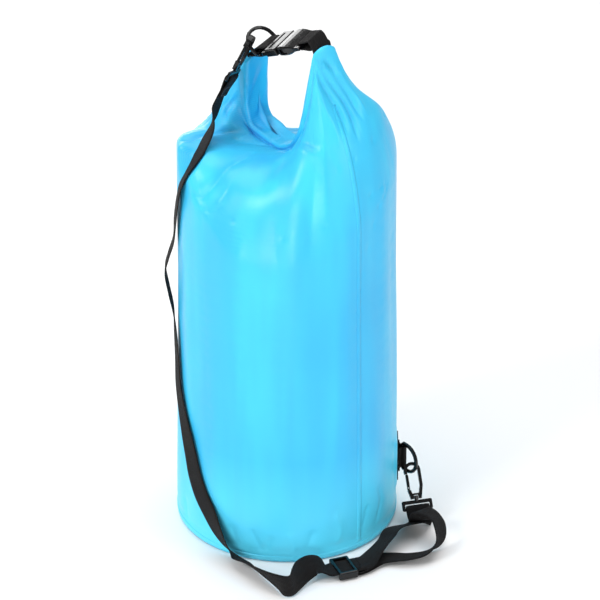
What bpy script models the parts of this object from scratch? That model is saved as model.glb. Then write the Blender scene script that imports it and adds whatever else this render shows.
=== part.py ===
"""A 20-litre roll-top dry bag, rolled shut and clipped into its carrying loop, with its shoulder strap
hooked on. Metres, +Z up, origin at the centre of the base; the rolled mouth runs along X."""

from math import cos, pi, radians, sin

import bmesh
import bpy
from mathutils import Matrix, Vector

GAP = 0.0003                      # between pieces that touch

# tube of the bag
BASE_RADIUS = 0.118
SHOULDER_RADIUS = 0.114
SHEET = 0.0006                    # thickness of the coated fabric
WAIST_RADIUS = 0.1165             # at WAIST_Z, between the base and the top of the taper
WAIST_Z = 0.15
TAPER_TOP_Z = 0.30
SHOULDER_Z = 0.400
TOP_Z = 0.4425
TOP_HALF_LENGTH = 0.103           # of the flattened top, along the rolled mouth
TOP_HALF_WIDTH = 0.083
DISC_RADIUS = 0.114
DISC_THICKNESS = 0.003
WELD_HEIGHT = 0.012
WELD_THICKNESS = 0.0012
SEAM_WIDTH = 0.014
SEAM_TOP_Z = 0.36

# rolled mouth
ROLL_WIDTH = 0.027
ROLL_WRAP = 0.0032                # each of the two outer layers
STIFFENER = 0.0012
ROLL_SPLIT_X = 0.014              # the roll's right arm starts here
# inner face of the loop that the roll makes, from the left end to the right end (x, z)
LOOP_LEFT = [(-0.0440, 0.5230), (-0.0450, 0.5000), (-0.0450, 0.4760), (-0.0405, 0.4640),
             (-0.0300, 0.4575), (-0.0050, 0.4525), (0.0130, 0.4530)]
LOOP_RIGHT = [(0.0150, 0.4532), (0.0270, 0.4570), (0.0370, 0.4655), (0.0410, 0.4800),
              (0.0455, 0.5150), (0.0510, 0.5600)]

# webbing and its hardware
WEB_WIDTH = 0.025
WEB = 0.0014
WEB_SLOT = WEB_WIDTH + 0.0016     # length of the slots that take it
BUCKLE_CENTRE = Vector((0.006, 0.0, 0.5560))
BUCKLE_TILT = radians(24)         # rises to the right
BUCKLE_ROLL = radians(19)         # its top leans towards -Y
BUCKLE_HALF_LENGTH = 0.0305
BUCKLE_HALF_WIDTH = 0.0172
BUCKLE_HALF_HEIGHT = 0.0052
OPEN_RADIUS = 0.105               # from the buckle's middle down to the fold that the right arm turns on

WIRE_RADIUS = 0.0021              # moulded D-rings
RING_HALF_BAR = 0.0155
RING_STRAIGHT = 0.007

HOOK_WIDTH = 0.018
HOOK_LENGTH = 0.040
HOOK_THICKNESS = 0.0046
HOOK_RAIL = 0.0033
HOOK_SLACK = 0.0046                # between the hook's crown and the wire, which crosses it aslant
SWIVEL_RADIUS = 0.0021
PIN_RADIUS = 0.0007
EYE_WIDTH = 0.0330
EYE_LENGTH = 0.0110
EYE_THICKNESS = 0.0032
EYE_BAR = 0.0032
EYE_SLOT = 0.0038
EYE_SPACE = 0.0012                # between the hook's foot and the eye

# the strap hangs down the side of the bag that is turned by STRAP_TURN from the rolled mouth
STRAP_TURN = radians(48)

BLUE = (0.055, 0.56, 0.93)
DEEP_BLUE = (0.03, 0.42, 0.80)
BLACK_WEB = (0.016, 0.015, 0.017)
BLACK_PLASTIC = (0.012, 0.012, 0.013)
STEEL = (0.60, 0.60, 0.61)


# ---------------------------------------------------------------- helpers

def material(name, colour, roughness, metallic=0.0):
    made = bpy.data.materials.get(name)
    if made is None:
        made = bpy.data.materials.new(name)
        made.use_nodes = True
        surface = made.node_tree.nodes["Principled BSDF"]
        surface.inputs["Base Color"].default_value = (*colour, 1.0)
        surface.inputs["Roughness"].default_value = roughness
        surface.inputs["Metallic"].default_value = metallic
    return made


def fabric():
    return material("coated_fabric", BLUE, 0.38)


def lining():
    return material("rolled_fabric", DEEP_BLUE, 0.42)


def webbing():
    return material("webbing", BLACK_WEB, 0.85)


def plastic():
    return material("moulded_plastic", BLACK_PLASTIC, 0.25)


def steel():
    return material("pin_steel", STEEL, 0.3, 1.0)


def add(name, mesh, look, matrix=None):
    made = bpy.data.objects.new(name, mesh)
    mesh.materials.append(look)
    PARTS.objects.link(made)
    if matrix is not None:
        made.matrix_world = matrix
    return made


def from_bmesh(name, shape, look, matrix=None, smooth_below=35):
    bmesh.ops.recalc_face_normals(shape, faces=shape.faces)
    mesh = bpy.data.meshes.new(name)
    shape.to_mesh(mesh)
    shape.free()
    mesh.shade_smooth()
    mesh.set_sharp_from_angle(angle=radians(smooth_below))
    return add(name, mesh, look, matrix)


def frame(origin, x_axis, z_hint):
    """A placement whose x runs along x_axis and whose z is as near z_hint as it can be."""
    x_dir = Vector(x_axis).normalized()
    y_dir = Vector(z_hint).cross(x_dir).normalized()
    z_dir = x_dir.cross(y_dir)
    placed = Matrix((x_dir, y_dir, z_dir)).transposed().to_4x4()
    placed.translation = Vector(origin)
    return placed


def loft(name, rings, look, matrix=None, smooth_below=35):
    """A closed solid through rings of the same number of points, capped at both ends."""
    shape = bmesh.new()
    made = [[shape.verts.new(point) for point in ring] for ring in rings]
    for low, high in zip(made, made[1:]):
        for at in range(len(low)):
            after = (at + 1) % len(low)
            shape.faces.new((low[at], low[after], high[after], high[at]))
    shape.faces.new(list(reversed(made[0])))
    shape.faces.new(made[-1])
    return from_bmesh(name, shape, look, matrix, smooth_below)


def block(name, low, high, look, matrix=None, bevel=0.0, segments=2):
    """A box between two corners, its edges rounded by bevel."""
    shape = bmesh.new()
    bmesh.ops.create_cube(shape, size=1.0)
    low, high = Vector(low), Vector(high)
    for vert in shape.verts:
        vert.co = Vector([low[i] + (vert.co[i] + 0.5) * (high[i] - low[i]) for i in range(3)])
    if bevel:
        bmesh.ops.bevel(shape, geom=list(shape.edges), offset=bevel, segments=segments,
                        affect="EDGES", profile=0.5)
    return from_bmesh(name, shape, look, matrix)


def as_tool(made):
    """Set a shape aside as a tool for cutting or joining, out of the part itself."""
    PARTS.objects.unlink(made)
    TOOLS.objects.link(made)
    made.hide_render = True
    made.display_type = "WIRE"
    return made


def cutter(name, low, high, matrix=None):
    return as_tool(block(name, low, high, plastic(), matrix))


def cut(body, tool):
    step = body.modifiers.new(tool.name, "BOOLEAN")
    step.operation = "DIFFERENCE"
    step.solver = "EXACT"
    step.object = tool
    return body


def join(body, tool):
    step = body.modifiers.new(tool.name, "BOOLEAN")
    step.operation = "UNION"
    step.solver = "EXACT"
    step.object = as_tool(tool)
    return body


def wire_loop(name, points, radius, look, matrix):
    """A closed round wire through points."""
    curve = bpy.data.curves.new(name, "CURVE")
    curve.dimensions = "3D"
    curve.bevel_depth = radius
    curve.bevel_resolution = 2
    spline = curve.splines.new("POLY")
    spline.use_cyclic_u = True
    spline.points.add(len(points) - 1)
    for made, point in zip(spline.points, points):
        made.co = (*point, 1.0)
    return add(name, curve, look, matrix)


def rod(name, start, end, radius, look, matrix, sides=10):
    """A straight round bar between two points."""
    start, end = Vector(start), Vector(end)
    along = frame(start, end - start, (0, 1, 0))
    rings = [[along @ Vector((reach, radius * cos(2 * pi * at / sides), radius * sin(2 * pi * at / sides)))
              for at in range(sides)] for reach in (0.0, (end - start).length)]
    return loft(name, rings, look, matrix)


def turned_ring(name, profile, look, steps=40):
    """A ring turned about Z from a closed outline of (radius, height)."""
    mesh = bpy.data.meshes.new(name)
    count = len(profile)
    mesh.from_pydata([(x, 0, z) for x, z in profile], [(at, (at + 1) % count) for at in range(count)], [])
    made = add(name, mesh, look)
    turn = made.modifiers.new("turn", "SCREW")
    turn.steps = turn.render_steps = steps
    turn.use_merge_vertices = True
    turn.merge_threshold = 0.0001
    return made


def smooth_points(points, steps):
    """Points on a smooth curve through the given ones, steps of them to each stretch."""
    made = []
    last = len(points) - 1
    for at in range(last):
        before = points[max(at - 1, 0)]
        start, end = points[at], points[at + 1]
        after = points[min(at + 2, last)]
        for step in range(steps):
            t = step / steps
            made.append(0.5 * (2 * start + (end - before) * t
                               + (2 * before - 5 * start + 4 * end - after) * t ** 2
                               + (3 * start - before - 3 * end + after) * t ** 3))
    made.append(points[-1])
    return made


def ribbon(name, centres, sides, width, thickness, look):
    """A flat strip along centres; sides are the directions that its width lies in."""
    rings = []
    last = len(centres) - 1
    for at, here in enumerate(centres):
        along = (centres[min(at + 1, last)] - centres[max(at - 1, 0)]).normalized()
        side = (sides[at] - sides[at].dot(along) * along).normalized()
        up = along.cross(side)
        rings.append([here + a * side * width / 2 + b * up * thickness / 2
                      for a, b in ((-1, -1), (1, -1), (1, 1), (-1, 1))])
    return loft(name, rings, look)


def strip_in_xz(name, path, width, near, far, look):
    """A strip of the given width along Y, following path in XZ, from near to far off the path."""
    rings = []
    last = len(path) - 1
    for at, here in enumerate(path):
        along = (path[min(at + 1, last)] - path[max(at - 1, 0)]).normalized()
        out = Vector((-along.y, along.x)) * -1
        rings.append([Vector((here.x + off * out.x, side * width / 2, here.y + off * out.y))
                      for off, side in ((near, -1), (near, 1), (far, 1), (far, -1))])
    return loft(name, rings, look)


def turned(right, away, height):
    """A point given as the strap sees the bag: right, away and up."""
    return Vector((right * cos(STRAP_TURN) - away * sin(STRAP_TURN),
                   right * sin(STRAP_TURN) + away * cos(STRAP_TURN), height))


# ---------------------------------------------------------------- bag

def ellipse(half_x, half_y, height, count=40):
    return [Vector((half_x * cos(2 * pi * at / count), half_y * sin(2 * pi * at / count), height))
            for at in range(count)]


def bag():
    foot = DISC_THICKNESS + GAP
    inside_weld = BASE_RADIUS - WELD_THICKNESS - GAP
    rings = [ellipse(inside_weld, inside_weld, foot),
             ellipse(inside_weld, inside_weld, WELD_HEIGHT + GAP),
             ellipse(BASE_RADIUS, BASE_RADIUS, WELD_HEIGHT + GAP),
             ellipse(WAIST_RADIUS, WAIST_RADIUS, WAIST_Z),
             ellipse(SHOULDER_RADIUS, SHOULDER_RADIUS, TAPER_TOP_Z),
             # the top narrows across the rolled mouth
             ellipse(SHOULDER_RADIUS, SHOULDER_RADIUS - 0.0012, SHOULDER_Z - 0.015),
             ellipse(SHOULDER_RADIUS - 0.0004, 0.108, SHOULDER_Z + 0.010),
             ellipse(SHOULDER_RADIUS - 0.003, 0.098, SHOULDER_Z + 0.028),
             ellipse(TOP_HALF_LENGTH, TOP_HALF_WIDTH, TOP_Z)]
    loft("bag_tube", rings, fabric())

    shape = bmesh.new()
    bmesh.ops.create_cone(shape, cap_ends=True, segments=40, radius1=DISC_RADIUS,
                          radius2=DISC_RADIUS, depth=DISC_THICKNESS)
    from_bmesh("base_disc", shape, fabric(), Matrix.Translation((0, 0, DISC_THICKNESS / 2)))

    inner = BASE_RADIUS - WELD_THICKNESS
    turned_ring("base_weld_band", [(inner, WELD_HEIGHT), (BASE_RADIUS, WELD_HEIGHT), (BASE_RADIUS, 0.0),
                                   (inner, 0.0)], fabric())

    for name, turn in (("side_seam_right", 0.0), ("side_seam_left", pi)):
        rings = []
        for height, radius in ((WELD_HEIGHT + 2 * GAP, BASE_RADIUS), (WAIST_Z, WAIST_RADIUS),
                               (TAPER_TOP_Z, SHOULDER_RADIUS), (SEAM_TOP_Z, SHOULDER_RADIUS)):
            half = SEAM_WIDTH / 2
            near, far = (radius + GAP) * cos(turn), (radius + GAP + SHEET) * cos(turn)
            rings.append([Vector((near, -half, height)), Vector((far, -half, height)),
                          Vector((far, half, height)), Vector((near, half, height))])
        loft(name, rings, fabric())


# the fabric gathered under each end of the roll: x and height of its inner and outer edges, and y of its
# two faces
LEFT_EAR = [((-0.0540, 0.4435), (-0.0980, 0.4435), -0.0180, 0.0300),
            ((-0.0540, 0.4600), (-0.0820, 0.4600), -0.0144, 0.0240),
            ((-0.0540, 0.4780), (-0.0660, 0.4780), -0.0102, 0.0170)]
RIGHT_EAR = [((0.0505, 0.4780), (0.0880, 0.4900), -0.0240, 0.0240),
             ((0.0545, 0.5100), (0.0840, 0.5100), -0.0200, 0.0200),
             ((0.0575, 0.5350), (0.0735, 0.5350), -0.0155, 0.0155),
             ((0.0605, 0.5580), (0.0640, 0.5580), -0.0125, 0.0125)]


def ears():
    for name, sections in (("left_gusset", LEFT_EAR), ("right_gusset", RIGHT_EAR)):
        rings = []
        for inner, outer, near, far in sections:
            rings.append([Vector((x, y, z)) for (x, z), y in ((inner, near), (outer, near), (outer, far),
                                                              (inner, far))])
        loft(name, rings, fabric())


def roll():
    """The rolled mouth: two layers of fabric with the stiffener strip between them."""
    for side, path in (("left", LOOP_LEFT), ("right", LOOP_RIGHT)):
        points = smooth_points([Vector(point) for point in path], 3)
        strip = ROLL_WRAP + GAP
        outer = strip + STIFFENER + GAP
        strip_in_xz(f"roll_{side}_inner", points, ROLL_WIDTH, 0.0, ROLL_WRAP, lining())
        strip_in_xz(f"stiffener_{side}", points, ROLL_WIDTH - 0.004, strip, strip + STIFFENER, plastic())
        strip_in_xz(f"roll_{side}_outer", points, ROLL_WIDTH, outer, outer + ROLL_WRAP, lining())


# ---------------------------------------------------------------- closure buckle

BUCKLE_X = Vector((cos(BUCKLE_TILT), 0, sin(BUCKLE_TILT)))
BUCKLE_Y = (Vector((0, 1, 0)) * cos(BUCKLE_ROLL)
            + BUCKLE_X.cross(Vector((0, 1, 0))) * sin(BUCKLE_ROLL))
BUCKLE = frame(BUCKLE_CENTRE, BUCKLE_X, BUCKLE_X.cross(BUCKLE_Y))
FOLD = BUCKLE_CENTRE + OPEN_RADIUS * Vector((sin(BUCKLE_TILT), 0, -cos(BUCKLE_TILT)))

BAR = 0.0034                      # webbing bars of the buckle
SLOT = 0.0036
THIN_END = 0.0022                 # half the thickness of the buckle where it takes the webbing
SOCKET_MOUTH_X = -0.0020
BORE_HALF_WIDTH = 0.0138
BORE_HALF_HEIGHT = 0.0036
ARM_ROOT_X = -0.0060
ARM_TIP_X = 0.0115
ARM_IN_Y = 0.0098
ARM_OUT_Y = 0.0126
BARB_Y = 0.0158


def plug():
    half_w, half_h = BUCKLE_HALF_WIDTH, BUCKLE_HALF_HEIGHT - 0.0008
    body = block("buckle_plug", (-BUCKLE_HALF_LENGTH, -half_w, -half_h), (ARM_ROOT_X - GAP, half_w, half_h),
                 plastic(), BUCKLE, 0.0014)
    for at, start in enumerate((-BUCKLE_HALF_LENGTH + BAR, -BUCKLE_HALF_LENGTH + 2 * BAR + SLOT)):
        cut(body, cutter(f"plug_slot_{at}", (start, -WEB_SLOT / 2, -0.02),
                         (start + SLOT, WEB_SLOT / 2, 0.02), BUCKLE))
    for name, low, high in (("above", THIN_END, 0.02), ("below", -0.02, -THIN_END)):
        cut(body, cutter(f"plug_thin_end_{name}", (-BUCKLE_HALF_LENGTH - 0.01, -0.03, low),
                         (-BUCKLE_HALF_LENGTH + BAR + SLOT, 0.03, high), BUCKLE))
    tongue = block("plug_tongue", (ARM_ROOT_X - 0.002, -0.0042, -0.0014), (0.0095, 0.0042, 0.0014),
                   plastic(), BUCKLE, 0.0005, 1)
    join(body, tongue)


def release_arms():
    for name, side in (("release_arm_front", -1), ("release_arm_back", 1)):
        ring = [(ARM_ROOT_X, ARM_IN_Y), (ARM_TIP_X, ARM_IN_Y), (ARM_TIP_X, ARM_OUT_Y),
                (0.0085, BARB_Y - 0.0006), (0.0045, BARB_Y), (0.0020, BARB_Y), (0.0016, ARM_OUT_Y),
                (ARM_ROOT_X, ARM_OUT_Y)]
        rings = [[Vector((x, side * y, z)) for x, y in ring] for z in (-0.0024, 0.0024)]
        loft(name, rings, plastic(), BUCKLE)


def socket():
    """A shell that narrows from its domed mouth to the webbing bars."""
    half_w, half_h = BUCKLE_HALF_WIDTH, BUCKLE_HALF_HEIGHT
    profile = ((SOCKET_MOUTH_X, 0.99, 1.00), (0.0040, 1.0, 1.10), (0.0100, 1.0, 1.06), (0.0150, 0.97, 0.90),
               (0.0200, 0.93, 0.60), (0.0232, 0.93, 0.43), (BUCKLE_HALF_LENGTH - 0.001, 0.93, 0.42),
               (BUCKLE_HALF_LENGTH, 0.90, 0.30))
    rings = []
    for x, wide, high in profile:
        w, h = half_w * wide, half_h * high
        corner = 0.30
        ring = []
        for sy, sz in ((-1, -1), (1, -1), (1, 1), (-1, 1)):
            first = Vector((x, sy * w, sz * h * (1 - corner)))
            second = Vector((x, sy * (w - h * corner), sz * h))
            ring += [second, first] if sy * sz < 0 else [first, second]
        rings.append(ring)
    body = loft("buckle_socket", rings, plastic(), BUCKLE)
    cut(body, cutter("socket_bore", (SOCKET_MOUTH_X - 0.01, -BORE_HALF_WIDTH, -BORE_HALF_HEIGHT),
                     (0.0130, BORE_HALF_WIDTH, BORE_HALF_HEIGHT), BUCKLE))
    cut(body, cutter("socket_windows", (0.0008, -0.03, -0.0030), (0.0105, 0.03, 0.0030), BUCKLE))
    cut(body, cutter("socket_slot", (BUCKLE_HALF_LENGTH - BAR - SLOT, -WEB_SLOT / 2, -0.02),
                     (BUCKLE_HALF_LENGTH - BAR, WEB_SLOT / 2, 0.02), BUCKLE))


def closure_webbing():
    """The two short straps, each folded round its bar of the buckle and sewn into the roll's end."""
    for side, sign, roll_end, name in (("left", -1, LOOP_LEFT[0], "closure_strap_left"),
                                       ("right", 1, LOOP_RIGHT[-1], "closure_strap_right")):
        bar_x = sign * (BUCKLE_HALF_LENGTH - BAR / 2)
        end_x = roll_end[0] + sign * 0.0040

        def at(out, height):
            return BUCKLE @ Vector((bar_x + sign * out, 0, height))

        def sewn(off, up):
            return Vector((end_x + off, 0, roll_end[1] + up))

        # under the bar, up through its slot and back over it, with room for a ring's bar in the fold
        path = [sewn(-sign * 0.0012, 0.0018), sewn(-sign * 0.0012, 0.0042),
                at(0.0160, -0.0066), at(0.0100, -0.0060), at(0.0015, -0.0038), at(-0.0020, -0.0034),
                at(-0.0035, 0.0), at(-0.0020, 0.0034), at(0.0015, 0.0038), at(0.0100, 0.0040),
                at(0.0160, 0.0026), sewn(sign * 0.0012, 0.0042), sewn(sign * 0.0012, 0.0018)]
        points = smooth_points(path, 3)
        widths = [Vector((0, 1, 0)).lerp(BUCKLE_Y, 1.0 - abs(2 * i / (len(points) - 1) - 1) ** 3)
                  for i in range(len(points))]
        ribbon(name, points, widths, WEB_WIDTH - 0.0026, WEB, webbing())


# ---------------------------------------------------------------- rings and hooks

def ring_outline():
    bar = RING_HALF_BAR - 0.0012
    points = [Vector((0, bar * (1 - i * 2 / 3), 0)) for i in range(4)]
    points.append(Vector((0.0014, -RING_HALF_BAR, 0)))
    steps = 12
    for at in range(steps + 1):
        turn = -pi / 2 + pi * at / steps
        points.append(Vector((RING_STRAIGHT + RING_HALF_BAR * cos(turn), RING_HALF_BAR * sin(turn), 0)))
    points.append(Vector((0.0014, RING_HALF_BAR, 0)))
    return points


def bow_point(placed, turn):
    """Where the ring's bow is at an angle from its middle."""
    return placed @ Vector((RING_STRAIGHT + RING_HALF_BAR * cos(turn), RING_HALF_BAR * sin(turn), 0))


def d_ring(name, placed):
    return wire_loop(name, ring_outline(), WIRE_RADIUS, plastic(), placed)


def hook(prefix, placed):
    """A snap hook; the placement's origin is the wire that it hangs on, -X runs down to its swivel."""
    half, rail, thick = HOOK_WIDTH / 2, HOOK_RAIL, HOOK_THICKNESS / 2
    top = WIRE_RADIUS + HOOK_SLACK + rail
    foot = top - HOOK_LENGTH
    inner = half - rail

    def outline(offset):
        """Half round over the top, straight rails, narrowing to the foot."""
        radius = half - offset
        centre = top - half
        arc = [(centre + radius * sin(pi * at / 10), -radius * cos(pi * at / 10)) for at in range(11)]
        narrow = 0.0058 if offset == 0 else 0.0036
        bottom = foot if offset == 0 else foot + 0.0060
        return arc + [(foot + 0.014, radius), (bottom, narrow), (bottom, -narrow), (foot + 0.014, -radius)]

    solid = loft(f"{prefix}_hook_body", [[Vector((x, y, z)) for x, y in outline(0)] for z in (-thick, thick)],
                 plastic(), placed)
    window = loft(f"{prefix}_hook_window", [[Vector((x, y, z)) for x, y in outline(rail)]
                                            for z in (-0.01, 0.01)], plastic(), placed)
    cut(solid, as_tool(window))
    gate_top = top - 0.0125
    gate_low = foot + 0.0100
    cut(solid, cutter(f"{prefix}_gate_gap", (gate_low, inner - 0.0012, -0.01),
                      (gate_top, half + 0.004, 0.01), placed))
    bore = SWIVEL_RADIUS + GAP
    cut(solid, cutter(f"{prefix}_swivel_bore", (foot - 0.001, -bore, -bore),
                      (foot + 0.0042, bore, bore), placed))

    # the gate turns on a pin at its foot and bears on the nose from inside
    pin_x, pin_y = gate_low + 0.0026, half - 0.0024
    gate = block(f"{prefix}_gate", (gate_low + GAP, half - 0.0040, -thick + 0.0008),
                 (gate_top - GAP, half - 0.0010, thick - 0.0008), plastic(), placed, 0.0006, 1)
    cut(gate, as_tool(rod(f"{prefix}_pin_hole", (pin_x, pin_y, -0.01), (pin_x, pin_y, 0.01), PIN_RADIUS + GAP,
                          plastic(), placed)))
    rod(f"{prefix}_gate_pin", (pin_x, pin_y, 0.0002 - thick), (pin_x, pin_y, thick - 0.0002), PIN_RADIUS,
        steel(), placed)

    # the swivel eye: a round stem with a knob in the hook's foot and a slotted plate for the webbing
    stem_end = foot + 0.0034
    plate_top = foot - EYE_SPACE
    plate = block(f"{prefix}_swivel_eye", (plate_top - EYE_LENGTH, -EYE_WIDTH / 2, -EYE_THICKNESS / 2),
                  (plate_top, EYE_WIDTH / 2, EYE_THICKNESS / 2), plastic(), placed, 0.0011, 1)
    slot_low = plate_top - EYE_LENGTH + EYE_BAR
    cut(plate, cutter(f"{prefix}_eye_slot", (slot_low, -WEB_SLOT / 2, -0.01),
                      (slot_low + EYE_SLOT, WEB_SLOT / 2, 0.01), placed))
    join(plate, rod(f"{prefix}_swivel_stem", (plate_top - 0.0015, 0, 0), (stem_end, 0, 0), SWIVEL_RADIUS,
                    plastic(), placed))


# ---------------------------------------------------------------- places of the hardware

UPPER_BAR = BUCKLE @ Vector((-0.0405, 0, -0.0010))
UPPER_OUT = Vector((-0.728, -0.296, 0.618))
UPPER_RING = frame(UPPER_BAR, UPPER_OUT, BUCKLE_Y.cross(UPPER_OUT))
UPPER_GRIP = bow_point(UPPER_RING, radians(62))
UPPER_HANG = Vector((-0.193, -0.431, -0.884)).normalized()
UPPER_HOOK = frame(UPPER_GRIP, -UPPER_HANG, (0.865, 0.348, -0.36))

LOWER_BAR = turned(0.1245, 0.0, 0.0620)
LOWER_OUT = turned(0.62, -0.785, 0.0)
LOWER_RING = frame(LOWER_BAR, LOWER_OUT, LOWER_OUT.cross(Vector((0, 0, 1))))
LOWER_GRIP = bow_point(LOWER_RING, radians(-55))
LOWER_HANG = turned(0.15, -0.62, -0.77)
LOWER_HOOK = frame(LOWER_GRIP, -LOWER_HANG, turned(0.10, -0.78, 0.50))
EYE_BAR_X = WIRE_RADIUS + HOOK_SLACK + HOOK_RAIL - HOOK_LENGTH - EYE_SPACE - EYE_LENGTH


def lower_patch():
    """The black patch welded to the tube and the webbing loop that holds the lower ring."""
    placed = frame(turned(BASE_RADIUS + 0.0004, 0, 0.0), turned(1, 0, 0), (0, 0, 1))
    block("lower_patch", (0.0, -0.015, 0.040), (0.0010, 0.015, 0.084), webbing(), placed, 0.0003, 1)
    # the loop runs level round the ring's upright bar, sewn to the patch at both ends
    reach = (LOWER_BAR - placed.translation).dot(turned(1, 0, 0))
    wrap = WIRE_RADIUS + 0.0005 + WEB / 2
    path = [(0.0020, -0.013), (0.0020, -0.008), (reach - wrap * 0.6, -wrap * 0.95),
            (reach + wrap * 0.4, -wrap * 0.9), (reach + wrap, 0.0), (reach + wrap * 0.4, wrap * 0.9),
            (reach - wrap * 0.6, wrap * 0.95), (0.0020, 0.008), (0.0020, 0.013)]
    centres = [placed @ Vector((x, y, LOWER_BAR.z)) for x, y in path]
    points = smooth_points(centres, 3)
    ribbon("lower_tab", points, [Vector((0, 0, 1))] * len(points), WEB_WIDTH - 0.001, WEB, webbing())


# ---------------------------------------------------------------- shoulder strap

# Where the strap runs and which way its width lies, as (right, away, up) of the side that it hangs on.
# It comes off the upper hook, lies over the shoulder and down the wall, and stands in a curl on the ground
# before the slider.
STRAP_ROUTE = [
    ((-0.0735, 0.0040, 0.4745), (-0.30, -0.85, 0.35)),
    ((-0.0785, -0.0110, 0.4600), (0.20, -0.90, 0.28)),
    ((-0.0860, -0.0280, 0.4480), (0.42, -0.87, 0.15)),
    ((-0.0940, -0.0360, 0.4370), (0.42, -0.90, 0.10)),
    ((-0.1020, -0.0380, 0.4240), (0.38, -0.92, 0.08)),
    ((-0.1095, -0.0380, 0.4060), (0.33, -0.94, 0.00)),
    ((-0.1135, -0.0260, 0.3800), (0.22, -0.97, 0.00)),
    ((-0.1165, -0.0100, 0.3500), (0.07, -1.00, 0.00)),
    ((-0.1185, 0.0000, 0.3250), (0.00, -1.00, 0.00)),
    ((-0.1240, 0.0020, 0.3050), (0.00, -1.00, 0.00)),
    ((-0.1275, 0.0020, 0.2880), (0.00, -1.00, 0.00)),
    ((-0.1240, 0.0000, 0.2660), (0.00, -1.00, 0.00)),
    ((-0.1195, -0.0060, 0.2450), (0.03, -1.00, 0.00)),
    ((-0.1170, -0.0180, 0.2200), (0.16, -0.98, 0.08)),
    ((-0.1155, -0.0255, 0.1925), (0.20, -0.97, 0.10)),
    ((-0.1143, -0.0325, 0.1650), (0.26, -0.95, 0.18)),
    ((-0.1097, -0.0455, 0.1380), (0.35, -0.86, 0.35)),
    ((-0.1055, -0.0560, 0.1190), (0.42, -0.76, 0.45)),
    ((-0.1012, -0.0640, 0.0990), (0.48, -0.72, 0.50)),
    ((-0.0970, -0.0710, 0.0785), (0.52, -0.68, 0.53)),
    ((-0.0905, -0.0795, 0.0600), (0.54, -0.64, 0.55)),
    ((-0.0820, -0.0895, 0.0445), (0.50, -0.64, 0.57)),
    ((-0.0735, -0.1005, 0.0290), (0.36, -0.74, 0.55)),
    ((-0.0630, -0.1120, 0.0160), (0.12, -0.86, 0.50)),
    ((-0.0515, -0.1215, 0.0078), (-0.18, -0.90, 0.39)),
    ((-0.0390, -0.1385, 0.0096), (-0.32, -0.68, 0.66)),
    ((-0.0260, -0.1575, 0.0116), (-0.42, -0.38, 0.82)),
    ((-0.0130, -0.1740, 0.0130), (-0.30, -0.20, 0.93)),
    ((-0.0030, -0.1845, 0.0136), (-0.05, -0.02, 1.00)),
    ((0.0050, -0.1835, 0.0136), (-0.15, 0.02, 0.98)),
    ((0.0110, -0.1690, 0.0136), (-0.40, 0.14, 0.90)),
    ((0.0180, -0.1540, 0.0135), (-0.55, 0.45, 0.70)),
    ((0.0270, -0.1455, 0.0145), (-0.35, 0.80, 0.48)),
    ((0.0350, -0.1440, 0.0130), (-0.15, 0.95, 0.25)),
    ((0.0420, -0.1440, 0.0090), (-0.25, 0.96, 0.06)),
]
SLIDER_CENTRE = turned(0.0600, -0.1375, 0.0070)
SLIDER_ALONG = turned(0.93, 0.36, 0.0).normalized()
SLIDER_ACROSS = Vector((0, 0, 1)).cross(SLIDER_ALONG)

# From the slider to the lower hook's eye, round in a loose loop that stands on the ground, and back
# under the slider, where the end is sewn round its middle bar.
OUT_ROUTE = [
    ((0.0900, -0.1145, 0.0070), (-0.62, 0.78, 0.00)),
    ((0.0985, -0.1010, 0.0078), (-0.74, 0.66, 0.05)),
    ((0.1060, -0.0900, 0.0105), (-0.82, 0.56, 0.05)),
    ((0.1150, -0.0740, 0.0140), (-0.86, 0.48, -0.05)),
]
BACK_ROUTE = [
    ((0.1430, -0.0610, 0.0300), (-0.70, -0.55, 0.10)),
    ((0.1530, -0.0670, 0.0300), (-0.35, -0.85, 0.20)),
    ((0.1610, -0.0780, 0.0260), (-0.45, -0.75, 0.35)),
    ((0.1625, -0.0900, 0.0190), (-0.45, -0.70, 0.45)),
    ((0.1570, -0.1020, 0.0115), (-0.20, -0.85, 0.42)),
    ((0.1440, -0.1110, 0.0070), (0.05, -0.93, 0.33)),
    ((0.1270, -0.1150, 0.0056), (0.10, -0.96, 0.25)),
    ((0.1100, -0.1140, 0.0040), (0.00, -0.99, 0.14)),
    ((0.0950, -0.1160, 0.0026), (0.20, -0.97, 0.05)),
]


def eye_pass(placed, near_side, far_side):
    """Points of webbing that goes round an eye's bar, from near_side below it to far_side below it."""
    def at(off, side):
        return placed @ Vector((EYE_BAR_X + off, 0, side))

    sign = 1 if near_side > 0 else -1
    climb = [at(-0.0200, near_side), at(-0.0120, near_side), at(-0.0030, sign * 0.0024),
             at(0.0040, sign * 0.0028), at(EYE_BAR + 0.0021, 0.0)]
    fall = [at(0.0040, -sign * 0.0028), at(-0.0030, -sign * 0.0024),
            at(-0.0120, far_side), at(-0.0200, far_side)]
    return climb, fall


def route(points):
    return [turned(*place) for place, _ in points], [turned(*side) for _, side in points]


def lay(name, centres, sides, steps=2):
    """A strap's plain solid on a smooth curve through its points."""
    ribbon(name, smooth_points(centres, steps), smooth_points(sides, steps), WEB_WIDTH, WEB, webbing())


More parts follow.
